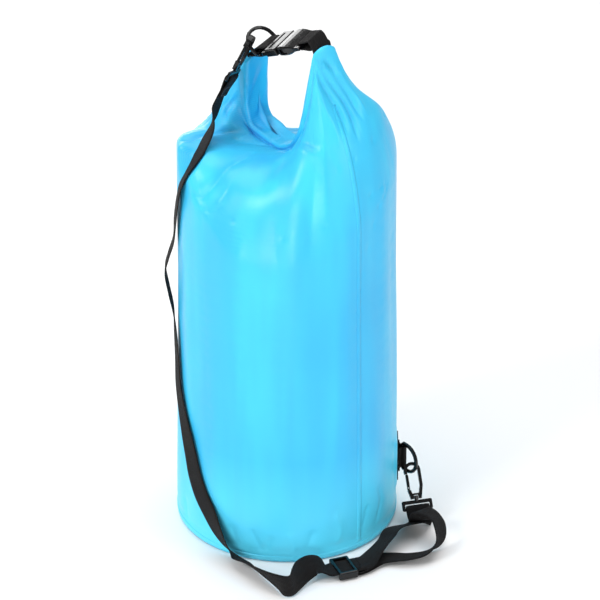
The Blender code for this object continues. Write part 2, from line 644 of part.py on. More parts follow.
def strap():
    # the end is doubled back over the upper eye's bar and sewn; the run goes on to the slider
    climb, fall = eye_pass(UPPER_HOOK, 0.0011, -0.0011)
    eye_side = UPPER_HOOK.to_3x3() @ Vector((0, 1, 0))
    run, run_sides = route(STRAP_ROUTE)
    level = SLIDER_CENTRE
    meet = level + SLIDER_ALONG * 0.0175
    straight = [level - SLIDER_ALONG * 0.0125, level - SLIDER_ALONG * 0.004, level + SLIDER_ALONG * 0.0055,
                meet - SLIDER_ALONG * 2 * GAP]
    centres = climb + fall + run + straight
    sides = [eye_side] * (len(climb) + len(fall)) + run_sides + [SLIDER_ACROSS] * len(straight)
    lay("strap_long_run", centres, sides)

    out, out_sides = route(OUT_ROUTE)
    back, back_sides = route(BACK_ROUTE)
    climb, fall = eye_pass(LOWER_HOOK, -0.0060, 0.0050)
    slot_side = LOWER_HOOK.to_3x3() @ Vector((0, 1, 0))
    climb, fall = climb[1:], fall[:3]
    bar = level - Vector((0, 0, 0.0036))
    drop = Vector((0, 0, 1))
    sewn = [bar + SLIDER_ALONG * 0.0180 - drop * 0.0017, bar + SLIDER_ALONG * 0.0040 - drop * 0.0018,
            bar - SLIDER_ALONG * 0.0014 - drop * 0.0015, bar - SLIDER_ALONG * 0.0026,
            bar - SLIDER_ALONG * 0.0014 + drop * 0.0015, bar + SLIDER_ALONG * 0.0040 + drop * 0.0018,
            bar + SLIDER_ALONG * 0.0120 + drop * 0.0016]
    start = [meet + SLIDER_ALONG * off for off in (0.0, 0.002, 0.004, 0.007)]
    centres = start + out + climb + fall + back + sewn
    sides = ([SLIDER_ACROSS] * len(start) + out_sides + [slot_side] * (len(climb) + len(fall)) + back_sides
             + [-SLIDER_ACROSS] * len(sewn))
    lay("strap_lower_loop", centres, sides)


def slider():
    """A three-bar slider: the webbing lies over its middle bar and under the two outer ones."""
    placed = frame(SLIDER_CENTRE, SLIDER_ALONG, (0, 0, 1))
    low, high = -0.0058, 0.0032
    reach, half = 0.0105, 0.0165
    body = block("strap_slider", (-reach, -half, low), (reach, half, high), plastic(), placed, 0.0014)
    rail = WEB_SLOT / 2
    cut(body, cutter("slider_underside", (-reach - 0.01, -rail, low - 0.01),
                     (reach + 0.01, rail, 0.0012), placed))
    cut(body, cutter("slider_opening", (-reach + 0.0030, -rail, low - 0.01),
                     (reach - 0.0030, rail, 0.02), placed))
    middle = block("slider_middle_bar", (-0.0011, -rail - 0.001, -0.0044), (0.0011, rail + 0.001, -0.0028),
                   plastic(), placed, 0.0004, 1)
    join(body, middle)


def build():
    bag()
    ears()
    roll()
    plug()
    release_arms()
    socket()
    closure_webbing()
    d_ring("upper_d_ring", UPPER_RING)
    d_ring("lower_d_ring", LOWER_RING)
    hook("upper", UPPER_HOOK)
    hook("lower", LOWER_HOOK)
    lower_patch()
    strap()
    slider()


for old in list(bpy.data.objects):
    bpy.data.objects.remove(old)
PARTS = bpy.data.collections.new("dry_bag")
TOOLS = bpy.data.collections.new("cutters")
bpy.context.scene.collection.children.link(PARTS)
bpy.context.scene.collection.children.link(TOOLS)
build()
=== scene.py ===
"""Looks of the roll-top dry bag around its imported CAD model: coated fabric, webbing and moulded plastic."""
from math import cos, pi, radians, sin, tau

import bmesh
import bpy
import numpy as np
from mathutils import Matrix, Vector


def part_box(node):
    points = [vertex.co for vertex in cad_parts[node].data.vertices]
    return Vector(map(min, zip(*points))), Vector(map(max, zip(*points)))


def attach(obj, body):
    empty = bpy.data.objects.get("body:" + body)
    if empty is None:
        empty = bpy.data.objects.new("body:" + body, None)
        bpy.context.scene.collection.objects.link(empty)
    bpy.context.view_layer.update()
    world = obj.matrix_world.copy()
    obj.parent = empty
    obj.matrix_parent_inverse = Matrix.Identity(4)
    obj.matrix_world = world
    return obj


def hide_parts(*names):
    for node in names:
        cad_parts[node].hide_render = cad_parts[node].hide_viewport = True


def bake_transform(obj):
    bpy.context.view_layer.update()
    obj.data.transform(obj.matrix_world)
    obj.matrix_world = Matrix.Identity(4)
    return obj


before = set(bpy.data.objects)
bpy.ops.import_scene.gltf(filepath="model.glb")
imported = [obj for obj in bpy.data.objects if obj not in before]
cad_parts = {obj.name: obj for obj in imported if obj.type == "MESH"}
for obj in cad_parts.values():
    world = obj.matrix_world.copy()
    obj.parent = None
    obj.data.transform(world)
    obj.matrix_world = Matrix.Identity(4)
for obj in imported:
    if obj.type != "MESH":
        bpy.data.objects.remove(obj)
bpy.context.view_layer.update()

# ---------------------------------------------------------------- sizes, in metres

BASE_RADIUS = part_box("base_weld_band")[1][0]
HEM_BOTTOM, HEM_TOP = 0.0012, 0.009
WEB_WIDTH = 0.025
WEB_THICKNESS = 0.0015

VIEW_TURN = radians(48)           # the side that shows the strap is turned this far from the rolled mouth
VIEW_PITCH = radians(28.97)
CAMERA_PLACE = Vector((3.1774, -2.8420, 2.6128))
LENS, SENSOR = 277.2, 36
FLOOR_RADIUS = 12
FLOOR_DROP = 0.0006               # keeps the floor clear of the base
FLOOR_WHITE = (0.93, 0.93, 0.93, 1)
AMBIENT = 0.32

# area lights: place as the view sees it, target, width and height, and power
LIGHTS = {
    "overhead": ((0.0, 0.5, 3.0), (0, 0, 0), (3.0, 3.0), 70),
    "key": ((-1.9, -1.6, 1.9), (0, 0, 0.25), (1.1, 1.1), 43),
    "fill": ((2.2, -1.4, 1.2), (0, 0, 0.25), (1.0, 1.8), 19),
    "front": ((-0.40, -2.3, 0.34), (0, 0, 0.10), (0.9, 0.5), 15),
    "behind": ((-1.1, 2.8, 0.8), (0, 0, 0.5), (1.6, 1.2), 24),
}


def turned(right, away, height):
    """A point or a way given as the view sees the bag: right, away and up."""
    return Vector((right * cos(VIEW_TURN) - away * sin(VIEW_TURN),
                   right * sin(VIEW_TURN) + away * cos(VIEW_TURN), height))


# ---------------------------------------------------------------- camera, floor and light

def set_camera():
    """A long lens, turned to the view and pitched down at the bag."""
    data = bpy.data.cameras.new("camera")
    data.lens = LENS
    data.sensor_width = SENSOR
    data.clip_end = 50
    made = bpy.data.objects.new("camera", data)
    right, away = turned(1, 0, 0), turned(0, 1, 0)
    up = away * sin(VIEW_PITCH) + Vector((0, 0, cos(VIEW_PITCH)))
    turn = Matrix((right, up, right.cross(up))).transposed().to_4x4()
    made.matrix_world = Matrix.Translation(CAMERA_PLACE) @ turn
    bpy.context.scene.collection.objects.link(made)
    bpy.context.scene.camera = made


def area_light(name, place, target, size, power):
    data = bpy.data.lights.new(name, "AREA")
    data.shape = "RECTANGLE"
    data.size, data.size_y = size
    data.energy = power
    made = bpy.data.objects.new(name, data)
    made.location = place
    made.rotation_euler = (Vector(target) - place).to_track_quat("-Z", "Y").to_euler()
    bpy.context.scene.collection.objects.link(made)


def set_floor():
    mesh = bpy.data.meshes.new("floor")
    shape = bmesh.new()
    bmesh.ops.create_circle(shape, cap_ends=True, segments=64, radius=FLOOR_RADIUS)
    shape.to_mesh(mesh)
    shape.free()
    floor = bpy.data.objects.new("floor", mesh)
    floor.location.z = -FLOOR_DROP
    bpy.context.scene.collection.objects.link(floor)
    look = Look("floor")
    mesh.materials.append(look.finish(Base_Color=FLOOR_WHITE, Roughness=0.55, Specular_IOR_Level=0.2))


def set_light():
    """A dim white surround and five soft lights."""
    world = bpy.data.worlds.new("studio")
    world.use_nodes = True
    world.node_tree.nodes["Background"].inputs["Color"].default_value = (1.0, 1.0, 1.0, 1)
    world.node_tree.nodes["Background"].inputs["Strength"].default_value = AMBIENT
    bpy.context.scene.world = world
    bpy.context.scene.view_settings.view_transform = "Standard"
    for name, (place, target, size, power) in LIGHTS.items():
        area_light(name, turned(*place), target, size, power)


# ---------------------------------------------------------------- materials

LIGHT_BLUE = (0.020, 0.58, 0.91, 1)
MID_BLUE = (0.012, 0.51, 0.86, 1)
DEEP_BLUE = (0.006, 0.40, 0.79, 1)
# painted shade, deep in the folds
PAINTED_FOLD_SHADE = (0.001, 0.22, 0.66, 1)
# painted light from the white floor, at the foot
PAINTED_FLOOR_LIGHT = (0.12, 0.82, 1.0, 1)
WHITE = (1, 1, 1, 1)
CLOTH_THREAD = 0.0011             # pitch of the threads in the fabric
PAINTED_SHADE_BANDS = 7                   # upright bands of painted shade round the wall
PAINTED_SHADE_TURN = 2.74                 # and how far round they start
FOLD_SHADE_REACH = 0.045                # how far the painted fold shade looks for nearby cloth

WEB_RIB = 0.0031                  # width of a rib of the webbing's herringbone
WEB_YARN = 0.0016                 # pitch of its slanted yarns
WEB_END = 0.0010                  # pitch of the yarns that run along it
WEB_BLACK = (0.002, 0.0018, 0.0020, 1)
WEB_GREY = (0.011, 0.0100, 0.0105, 1)
DUST = (0.05, 0.045, 0.042, 1)
PLASTIC_BLACK = (0.003, 0.003, 0.0034, 1)
PLASTIC_SCUFF = (0.008, 0.008, 0.009, 1)
THREAD_GREY = (0.045, 0.043, 0.044, 1)
STEEL_GREY = (0.55, 0.55, 0.56, 1)


class Look:
    """A material under construction: nodes are added with links given as inputs."""

    def __init__(self, name):
        self.material = bpy.data.materials.new(name)
        self.material.use_nodes = True
        self.tree = self.material.node_tree
        self.surface = self.tree.nodes["Principled BSDF"]

    def add(self, kind, settings=None, **inputs):
        node = self.tree.nodes.new(kind)
        for name, value in (settings or {}).items():
            setattr(node, name, value)
        for name, value in inputs.items():
            self.put(node, name, value)
        return node

    def put(self, node, name, value):
        """Sets an input by its name, or by its number as i0, i1 and so on."""
        if name.startswith("i") and name[1:].isdigit():
            target = node.inputs[int(name[1:])]
        else:
            target = node.inputs[name.replace("_", " ")]
        if isinstance(value, bpy.types.NodeSocket):
            self.tree.links.new(value, target)
        else:
            target.default_value = value

    def place(self):
        return self.add("ShaderNodeTexCoord").outputs["Object"]

    def cloth_map(self):
        return self.add("ShaderNodeUVMap", {"uv_map": "cloth"}).outputs["UV"]

    def split(self, vector):
        return self.add("ShaderNodeSeparateXYZ", Vector=vector).outputs

    def math(self, operation, a, b=0.0):
        return self.add("ShaderNodeMath", {"operation": operation}, i0=a, i1=b).outputs[0]

    def wave(self, value, pitch):
        return self.math("SINE", self.math("MULTIPLY", value, tau / pitch))

    def mix(self, factor, first, second):
        return self.add("ShaderNodeMix", {"data_type": "RGBA"}, i0=factor, i6=first, i7=second).outputs[2]

    def noise(self, vector, scale, detail=2.0, roughness=0.5):
        return self.add("ShaderNodeTexNoise", Vector=vector, Scale=scale, Detail=detail,
                        Roughness=roughness).outputs["Fac"]

    def bump(self, height, strength, distance, normal=None):
        node = self.add("ShaderNodeBump", Height=height, Strength=strength, Distance=distance)
        if normal is not None:
            self.put(node, "Normal", normal)
        return node.outputs["Normal"]

    def span(self, value, low, high, to_low, to_high):
        """value from low..high stretched to to_low..to_high."""
        return self.add("ShaderNodeMapRange", Value=value, From_Min=low, From_Max=high,
                        To_Min=to_low, To_Max=to_high).outputs["Result"]

    def finish(self, **inputs):
        for name, value in inputs.items():
            self.put(self.surface, name, value)
        return self.material


def fabric_look(name):
    """Coated fabric: a fine woven grid under a softly glossy skin, with faint scuffs, painted shade and
    painted floor light.
    """
    look = Look(name)
    place = look.place()
    threads = look.split(look.cloth_map())
    weave = look.math("ADD", look.wave(threads["X"], CLOTH_THREAD), look.wave(threads["Y"], CLOTH_THREAD))
    cloudy = look.noise(place, 9.0, 3.0)
    fine = look.noise(place, 160.0, 4.0, 0.6)
    tall = look.add("ShaderNodeMapping", Vector=place, Scale=(1.0, 1.0, 0.10)).outputs[0]
    bands = look.noise(tall, 26.0, 2.0)
    colour = look.mix(look.span(cloudy, 0.35, 0.65, 0.0, 1.0), LIGHT_BLUE, MID_BLUE)
    colour = look.mix(look.span(bands, 0.42, 0.64, 0.0, 0.60), colour, DEEP_BLUE)
    # painted shade: soft upright bands of darker blue round the wall, fading out towards its top
    spot = look.split(place)
    around = look.math("ARCTAN2", spot["Y"], spot["X"])
    painted_band_shade = look.math("SINE", look.math("ADD", look.math("MULTIPLY", around, PAINTED_SHADE_BANDS), PAINTED_SHADE_TURN))
    on_wall = look.span(spot["Z"], 0.30, 0.42, 1.0, 0.0)
    painted_band_shade = look.math("MULTIPLY", look.span(painted_band_shade, -1.0, 1.0, 0.36, 0.0), on_wall)
    colour = look.mix(painted_band_shade, colour, DEEP_BLUE)
    # painted light: the foot is coloured paler towards the base, as light bounced off the white floor would
    # brighten it
    colour = look.mix(look.span(spot["Z"], 0.0, 0.12, 0.62, 0.0), colour, PAINTED_FLOOR_LIGHT)
    # painted shade: cloth that is closed in by nearby cloth of the same piece, as deep in a fold, is coloured
    # a darker blue
    open_share = look.add("ShaderNodeAmbientOcclusion", {"samples": 6, "only_local": True},
                          Distance=FOLD_SHADE_REACH).outputs["AO"]
    colour = look.mix(look.span(open_share, 0.15, 0.85, 0.85, 0.0), colour, PAINTED_FOLD_SHADE)
    colour = look.mix(look.span(weave, -2, 2, 0.0, 0.06), colour, WHITE)
    skin = look.bump(look.noise(place, 38.0, 3.0, 0.55), 0.20, 0.0012)
    skin = look.bump(fine, 0.10, 0.0004, skin)
    skin = look.bump(weave, 0.12, 0.00006, skin)
    rough = look.math("ADD", look.span(fine, 0.3, 0.7, -0.03, 0.05), 0.34)
    return look.finish(Base_Color=colour, Roughness=rough, Normal=skin, Specular_IOR_Level=0.36)


def webbing_look(name, mapped=True):
    """Woven webbing. The cloth map runs along it in X and over its width in Y, in metres. A CAD piece has no
    map and its width lies along Y, so it takes its own place for one."""
    look = Look(name)
    place = look.place()
    over = look.split(look.cloth_map() if mapped else place)
    along, across = over["X"], over["Y"]
    if not mapped:
        along = look.math("ADD", along, over["Z"])
    # slanted yarns that turn at each rib make a herringbone
    rib = look.math("PINGPONG", across, WEB_RIB)
    yarn = look.wave(look.math("ADD", along, look.math("MULTIPLY", rib, 1.1)), WEB_YARN)
    ends = look.wave(across, WEB_END)
    weave = look.math("ADD", look.math("MULTIPLY", yarn, 0.7), look.math("MULTIPLY", ends, 0.3))
    fuzz = look.noise(place, 900.0, 3.0, 0.7)
    dust = look.noise(place, 30.0, 3.0)
    colour = look.mix(look.span(weave, -1, 1, 0.0, 1.0), WEB_BLACK, WEB_GREY)
    colour = look.mix(look.span(dust, 0.45, 0.75, 0.0, 0.10), colour, DUST)
    normal = look.bump(weave, 0.85, 0.00030)
    normal = look.bump(fuzz, 0.35, 0.00015, normal)
    return look.finish(Base_Color=colour, Roughness=0.82, Normal=normal, Sheen_Weight=0.03,
                       Sheen_Roughness=0.5, Specular_IOR_Level=0.15)


def plastic_look(name):
    """Glossy moulded plastic with a fine grain and scuffs."""
    look = Look(name)
    place = look.place()
    grain = look.noise(place, 2600.0, 2.0)
    scuff = look.noise(place, 120.0, 4.0, 0.6)
    rough = look.math("ADD", look.span(scuff, 0.4, 0.75, 0.0, 0.16), 0.17)
    colour = look.mix(look.span(scuff, 0.45, 0.8, 0.0, 0.5), PLASTIC_BLACK, PLASTIC_SCUFF)
    return look.finish(Base_Color=colour, Roughness=rough, Normal=look.bump(grain, 0.15, 0.00004),
                       Specular_IOR_Level=0.38)


def thread_look(name):
    return Look(name).finish(Base_Color=THREAD_GREY, Roughness=0.6, Sheen_Weight=0.1)


def steel_look(name):
    look = Look(name)
    brushed = look.noise(look.place(), 1500.0, 2.0)
    rough = look.span(brushed, 0.3, 0.7, 0.22, 0.38)
    return look.finish(Base_Color=STEEL_GREY, Metallic=1.0, Roughness=rough)


# ---------------------------------------------------------------- curves and meshes

RIBBON_CELLS = 8                  # cells over a strap's width
RIBBON_THINNING = 0.55            # share of its thickness that webbing loses at its very edge


def spline(before, start, end, after, t):
    """The smooth curve from start to end that also heeds the points on both sides, at t from 0 to 1."""
    return 0.5 * (2 * start + (end - before) * t
                  + (2 * before - 5 * start + 4 * end - after) * t ** 2
                  + (3 * start - before - 3 * end + after) * t ** 3)


def ease(t):
    """A soft step from 0 to 1 as t goes from 0 to 1."""
    t = np.clip(t, 0, 1)
    return t * t * (3 - 2 * t)


def smooth_points(points, steps):
    """Points on a smooth curve through the given ones, steps of them to each stretch."""
    made = []
    last = len(points) - 1
    for at in range(last):
        around = points[max(at - 1, 0)], points[at], points[at + 1], points[min(at + 2, last)]
        made += [spline(*around, step / steps) for step in range(steps)]
    made.append(points[-1])
    return made


def mesh_object(name, verts, faces, look, uv=None, smooth=True):
    mesh = bpy.data.meshes.new(name)
    mesh.from_pydata([tuple(v) for v in verts], [], faces)
    if uv is not None:
        layer = mesh.uv_layers.new(name="cloth")
        for polygon in mesh.polygons:
            for corner in polygon.loop_indices:
                layer.data[corner].uv = uv[mesh.loops[corner].vertex_index]
    if smooth:
        mesh.shade_smooth()
    mesh.materials.append(look)
    made = bpy.data.objects.new(name, mesh)
    bpy.context.scene.collection.objects.link(made)
    return made


def face_out(made):
    """Turns the faces of a closed mesh outwards."""
    shape = bmesh.new()
    shape.from_mesh(made.data)
    bmesh.ops.recalc_face_normals(shape, faces=shape.faces)
    shape.to_mesh(made.data)
    shape.free()


def grid_faces(count, height, closed=True):
    """Faces between height rows of count points; a closed row joins its end to its start."""
    around = count if closed else count - 1
    return [(row * count + at, row * count + (at + 1) % count,
             (row + 1) * count + (at + 1) % count, (row + 1) * count + at)
            for row in range(height - 1) for at in range(around)]


def ribbon(name, centres, sides, look):
    """Webbing along centres with softly rounded edges; its width lies along sides."""
    half = WEB_WIDTH / 2
    across = [-half + WEB_WIDTH * at / RIBBON_CELLS for at in range(RIBBON_CELLS + 1)]
    outline = [(x, 1) for x in across] + [(x, -1) for x in reversed(across)]
    verts, uv = [], []
    last = len(centres) - 1
    run = 0.0
    for at, here in enumerate(centres):
        if at:
            run += (here - centres[at - 1]).length
        along = (centres[min(at + 1, last)] - centres[max(at - 1, 0)]).normalized()
        side = (sides[at] - sides[at].dot(along) * along).normalized()
        up = along.cross(side)
        for x, face in outline:
            lift = WEB_THICKNESS / 2 * (1 - RIBBON_THINNING * (abs(x) / half) ** 10)
            verts.append(here + side * x + up * (face * lift))
            uv.append((run, x + (half if face > 0 else 3 * half)))
    count = len(outline)
    faces = grid_faces(count, last + 1)
    faces.append(tuple(reversed(range(count))))
    faces.append(tuple(range(last * count, (last + 1) * count)))
    return mesh_object(name, verts, faces, look, uv)


# ---------------------------------------------------------------- places of the hardware

def placement(origin, x_axis, z_hint):
    """A frame at origin with its X along x_axis and its Z near z_hint."""
    x_dir = Vector(x_axis).normalized()
    y_dir = Vector(z_hint).cross(x_dir).normalized()
    placed = Matrix((x_dir, y_dir, x_dir.cross(y_dir))).transposed().to_4x4()
    placed.translation = Vector(origin)
    return placed


# The straps run from hook to hook, so the CAD's places of the hardware are worked out again here.
BUCKLE_CENTRE = Vector((0.006, 0.0, 0.5560))
BUCKLE_TILT = radians(24)
BUCKLE_ROLL = radians(19)
BUCKLE_X = Vector((cos(BUCKLE_TILT), 0, sin(BUCKLE_TILT)))
BUCKLE_Y = (Vector((0, 1, 0)) * cos(BUCKLE_ROLL)
            + BUCKLE_X.cross(Vector((0, 1, 0))) * sin(BUCKLE_ROLL))
BUCKLE = placement(BUCKLE_CENTRE, BUCKLE_X, BUCKLE_X.cross(BUCKLE_Y))

WIRE_RADIUS = 0.0021              # of the D-rings
RING_HALF_BAR = 0.0155            # also the radius of a ring's bow
RING_STRAIGHT = 0.007             # from a ring's bar to where its bow starts
HOOK_LENGTH = 0.040
HOOK_SLACK = 0.0046               # between a ring's wire and the hook that hangs from it
HOOK_RAIL = 0.0033
EYE_LENGTH = 0.0110
EYE_BAR = 0.0032
EYE_SPACE = 0.0012                # between a hook and its swivel eye
EYE_BAR_X = WIRE_RADIUS + HOOK_SLACK + HOOK_RAIL - HOOK_LENGTH - EYE_SPACE - EYE_LENGTH

UPPER_BAR = BUCKLE @ Vector((-0.0405, 0, -0.0010))
UPPER_OUT = Vector((-0.728, -0.296, 0.618))
UPPER_RING = placement(UPPER_BAR, UPPER_OUT, BUCKLE_Y.cross(UPPER_OUT))
LOWER_BAR = turned(0.1245, 0.0, 0.0620)
LOWER_OUT = turned(0.62, -0.785, 0.0)
LOWER_RING = placement(LOWER_BAR, LOWER_OUT, LOWER_OUT.cross(Vector((0, 0, 1))))


def bow_point(placed, turn):
    """A point of a ring's bow, by its turn from the bow's top."""
    return placed @ Vector((RING_STRAIGHT + RING_HALF_BAR * cos(turn), RING_HALF_BAR * sin(turn), 0))


UPPER_GRIP = bow_point(UPPER_RING, radians(62))
UPPER_HANG = Vector((-0.193, -0.431, -0.884)).normalized()
UPPER_HOOK = placement(UPPER_GRIP, -UPPER_HANG, (0.865, 0.348, -0.36))
LOWER_GRIP = bow_point(LOWER_RING, radians(-55))
LOWER_HANG = turned(0.15, -0.62, -0.77)
LOWER_HOOK = placement(LOWER_GRIP, -LOWER_HANG, turned(0.10, -0.78, 0.50))

# ---------------------------------------------------------------- shoulder strap

# Where the strap runs from the upper hook to the slider, and which way its width lies, each as (right, away,
# up) of the view.
STRAP_ROUTE = [
    ((-0.0735, 0.0040, 0.4745), (-0.30, -0.85, 0.35)),
    ((-0.0785, -0.0110, 0.4600), (0.20, -0.90, 0.28)),
    ((-0.0860, -0.0280, 0.4480), (0.16, -0.97, 0.10)),
    ((-0.0940, -0.0360, 0.4370), (0.06, -0.99, 0.02)),
    ((-0.1020, -0.0380, 0.4240), (-0.02, -0.99, 0.08)),
    ((-0.1095, -0.0380, 0.4060), (0.02, -0.99, 0.06)),
    ((-0.1135, -0.0260, 0.3800), (0.06, -0.99, 0.00)),
    ((-0.1165, -0.0100, 0.3500), (0.07, -1.00, 0.00)),
    ((-0.1185, 0.0000, 0.3250), (0.00, -1.00, 0.00)),
    ((-0.1240, 0.0020, 0.3050), (0.00, -1.00, 0.00)),
    ((-0.1275, 0.0020, 0.2880), (0.00, -1.00, 0.00)),
    ((-0.1240, 0.0000, 0.2660), (0.00, -1.00, 0.00)),
    ((-0.1195, -0.0060, 0.2450), (0.03, -1.00, 0.00)),
    ((-0.1170, -0.0180, 0.2200), (0.16, -0.98, 0.08)),
    ((-0.1155, -0.0255, 0.1925), (0.20, -0.97, 0.10)),
    ((-0.1143, -0.0325, 0.1650), (0.26, -0.95, 0.18)),
    ((-0.1097, -0.0455, 0.1380), (0.35, -0.86, 0.35)),
    ((-0.1055, -0.0560, 0.1190), (0.42, -0.76, 0.45)),
    ((-0.1012, -0.0640, 0.0990), (0.48, -0.72, 0.50)),
    ((-0.0970, -0.0710, 0.0785), (0.52, -0.68, 0.53)),
    ((-0.0905, -0.0795, 0.0600), (0.54, -0.64, 0.55)),
    ((-0.0820, -0.0895, 0.0445), (0.50, -0.64, 0.57)),
    ((-0.0735, -0.1005, 0.0290), (0.36, -0.74, 0.55)),
    ((-0.0630, -0.1120, 0.0160), (0.12, -0.86, 0.50)),
    ((-0.0515, -0.1215, 0.0078), (-0.18, -0.90, 0.39)),
    ((-0.0390, -0.1385, 0.0096), (-0.32, -0.68, 0.66)),
    ((-0.0260, -0.1575, 0.0116), (-0.42, -0.38, 0.82)),
    ((-0.0130, -0.1740, 0.0130), (-0.30, -0.20, 0.93)),
    ((-0.0030, -0.1845, 0.0136), (-0.05, -0.02, 1.00)),
    ((0.0050, -0.1835, 0.0136), (-0.15, 0.02, 0.98)),
    ((0.0110, -0.1690, 0.0136), (-0.40, 0.14, 0.90)),
    ((0.0180, -0.1540, 0.0135), (-0.55, 0.45, 0.70)),
    ((0.0270, -0.1455, 0.0145), (-0.35, 0.80, 0.48)),
    ((0.0350, -0.1440, 0.0130), (-0.15, 0.95, 0.25)),
]
SLIDER_CENTRE = turned(0.0600, -0.1375, 0.0070)
SLIDER_ALONG = turned(0.93, 0.36, 0.0).normalized()
SLIDER_ACROSS = Vector((0, 0, 1)).cross(SLIDER_ALONG)
SLIDER_PASS = (-0.0178, -0.0100, -0.0020, 0.0060, 0.0169)     # the strap runs straight through it
SLIDER_EXIT = 0.0175
SLIDER_BAR_DROP = 0.0036          # its middle bar lies this far under its centre
# the strap's end is sewn round that bar: places along the slider, and heights
SEWN_TURN = ((0.0180, -0.0017), (0.0040, -0.0018), (-0.0014, -0.0015), (-0.0026, 0.0),
             (-0.0014, 0.0015), (0.0040, 0.0018), (0.0120, 0.0016))
# from the slider out to the lower hook's eye
OUT_ROUTE = [
    ((0.0900, -0.1145, 0.0078), (-0.58, 0.76, -0.26)),
    ((0.0985, -0.1010, 0.0105), (-0.62, 0.66, -0.42)),
    ((0.1060, -0.0900, 0.0135), (-0.68, 0.57, -0.46)),
    ((0.1150, -0.0740, 0.0165), (-0.78, 0.46, -0.38)),
]
# and from the eye back to the slider's bar
BACK_ROUTE = [
    ((0.1430, -0.0610, 0.0300), (-0.70, -0.55, 0.10)),
    ((0.1530, -0.0670, 0.0300), (-0.35, -0.85, 0.20)),
    ((0.1610, -0.0780, 0.0260), (-0.45, -0.75, 0.35)),
    ((0.1625, -0.0900, 0.0190), (-0.45, -0.70, 0.45)),
    ((0.1570, -0.1020, 0.0115), (-0.20, -0.85, 0.42)),
    ((0.1440, -0.1110, 0.0070), (0.05, -0.93, 0.33)),
    ((0.1270, -0.1150, 0.0056), (0.10, -0.96, 0.25)),
    ((0.1100, -0.1140, 0.0040), (0.00, -0.99, 0.14)),
    ((0.0950, -0.1160, 0.0026), (0.20, -0.97, 0.05)),
]
STEPS = 8                         # points to each stretch of a route

UPPER_SEWN = (0.0020, 0.0120)     # the box of stitches at the upper eye, from the strap's start
SLIDER_SEWN = (0.0440, 0.0330)    # and at the slider, back from the loop's end
STITCH_PITCH = 0.0024
STITCH_INSET = 0.0028             # from the webbing's edge
# a stitch's half length in pitches, half width and height, where it leaves the webbing and at its top
STITCH_FOOT, STITCH_TOP = (0.36, 0.00035, 0.0), (0.24, 0.00020, 0.0004)


def eye_pass(placed, near_side, far_side):
    """Points of webbing that goes round an eye's bar, from near_side below it to far_side below it."""
    def at(off, side):
        return placed @ Vector((EYE_BAR_X + off, 0, side))

    sign = 1 if near_side > 0 else -1
    climb = [at(-0.0200, near_side), at(-0.0120, near_side), at(-0.0030, sign * 0.0024),
             at(0.0040, sign * 0.0028), at(EYE_BAR + 0.0021, 0.0)]
    fall = [at(0.0040, -sign * 0.0028), at(-0.0030, -sign * 0.0024),
            at(-0.0120, far_side), at(-0.0200, far_side)]
    return climb, fall


def route(points):
    """A route's places and width ways, in the bag's own directions."""
    return [turned(*place) for place, _ in points], [turned(*side) for _, side in points]


def strap_paths():
    """Centres, and the ways that the width lies, of the long run and of the loop through the lower eye."""
    climb, fall = eye_pass(UPPER_HOOK, 0.0011, -0.0011)
    eye_side = UPPER_HOOK.to_3x3() @ Vector((0, 1, 0))
    run, run_sides = route(STRAP_ROUTE)
    through = [SLIDER_CENTRE + SLIDER_ALONG * off for off in SLIDER_PASS]
    long_run = (climb + fall + run + through,
                [eye_side] * (len(climb) + len(fall)) + run_sides + [SLIDER_ACROSS] * len(through))

    out, out_sides = route(OUT_ROUTE)
    back, back_sides = route(BACK_ROUTE)
    climb, fall = eye_pass(LOWER_HOOK, -0.0060, 0.0050)
    climb, fall = climb[1:], fall[:3]
    slot_side = LOWER_HOOK.to_3x3() @ Vector((0, 1, 0))
    meet = SLIDER_CENTRE + SLIDER_ALONG * SLIDER_EXIT
    start = [meet + SLIDER_ALONG * off for off in (0.0, 0.002, 0.004, 0.007)]
    bar = SLIDER_CENTRE - Vector((0, 0, SLIDER_BAR_DROP))
    sewn = [bar + SLIDER_ALONG * off + Vector((0, 0, lift)) for off, lift in SEWN_TURN]
    loop = (start + out + climb + fall + back + sewn,
            [SLIDER_ACROSS] * len(start) + out_sides + [slot_side] * (len(climb) + len(fall)) + back_sides
            + [-SLIDER_ACROSS] * len(sewn))
    return long_run, loop


def distances(line):
    """How far along a line each of its points is."""
    run = [0.0]
    for a, b in zip(line, line[1:]):
        run.append(run[-1] + (b - a).length)
    return run


def stitches(name, line, sides, start, end, look):
    """Thread sewn in a box through a strap, between two distances along it: raised stitches on both faces."""
    run = distances(line)

    def spot(distance):
        at = min(range(len(run) - 1), key=lambda k: abs(run[k] - distance))
        along = (line[at + 1] - line[at]).normalized()
        side = (sides[at] - sides[at].dot(along) * along).normalized()
        return line[at] + along * (distance - run[at]), along, side

    half = WEB_WIDTH / 2 - STITCH_INSET
    marks = []
    steps = max(2, round((end - start) / STITCH_PITCH))
    for k in range(steps):
        distance = start + (k + 0.5) * (end - start) / steps
        marks += [(distance, -half, "along"), (distance, half, "along")]
    for k in range(round(2 * half / STITCH_PITCH)):
        offset = -half + (k + 0.5) * STITCH_PITCH
        marks += [(start, offset, "across"), (end, offset, "across")]
    verts, faces = [], []
    for distance, offset, way in marks:
        centre, along, side = spot(distance)
        up = along.cross(side)
        long, short = (along, side) if way == "along" else (side, along)
        for face in (1, -1):
            middle = centre + side * offset + up * (face * (WEB_THICKNESS / 2 - 0.0001))
            base = len(verts)
            for share, wide, rise in (STITCH_FOOT, STITCH_TOP):
                for x, y in ((-1, -1), (1, -1), (1, 1), (-1, 1)):
                    verts.append(middle + long * (x * STITCH_PITCH * share) + short * (y * wide)
                                 + up * (face * rise))
            faces += [tuple(base + k for k in (3, 2, 1, 0)), tuple(base + k for k in (4, 5, 6, 7))]
            faces += [(base + k, base + (k + 1) % 4, base + 4 + (k + 1) % 4, base + 4 + k) for k in range(4)]
    made = mesh_object(name, verts, faces, look, smooth=False)
    face_out(made)
    return made


